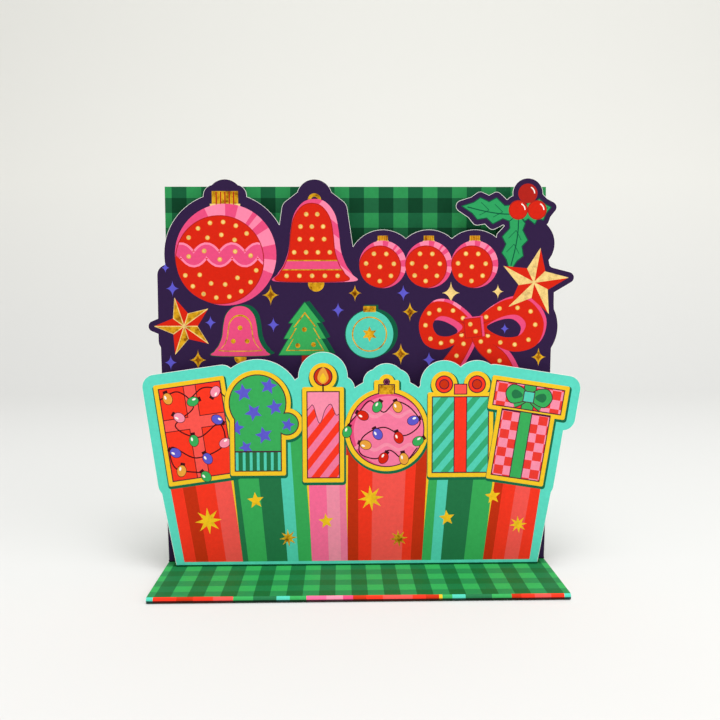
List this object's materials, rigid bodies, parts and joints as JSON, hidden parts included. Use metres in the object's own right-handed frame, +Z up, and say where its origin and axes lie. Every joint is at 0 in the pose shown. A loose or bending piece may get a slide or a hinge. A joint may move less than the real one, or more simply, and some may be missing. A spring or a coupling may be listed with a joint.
{
  "type": "greeting card",
  "caption": "Free-standing layered greeting card: a folded plaid stand with die-cut printed layers standing in front of its back panel.",
  "frame": {"origin": "middle of the base's underside, on the surface that the card stands on", "axes": "+X to the reader's right, +Y away from the reader towards the back panel, +Z up"},
  "size_m": [0.1436, 0.04, 0.1298],
  "materials": {
    "plaid_board": "satin coated, printed in a green plaid",
    "purple_board": "satin coated, printed, with gold foil",
    "teal_board": "satin coated, printed, with gold foil",
    "white_card": "uncoated white"
  },
  "bodies": {
    "root": {"folded_stand": "plaid_board", "middle_layer": "purple_board", "front_layer": "teal_board", "front_hinge_left": "white_card", "front_hinge_right": "white_card", "rear_hinge_left": "white_card", "rear_hinge_right": "white_card"}
  },
  "joints": []
}
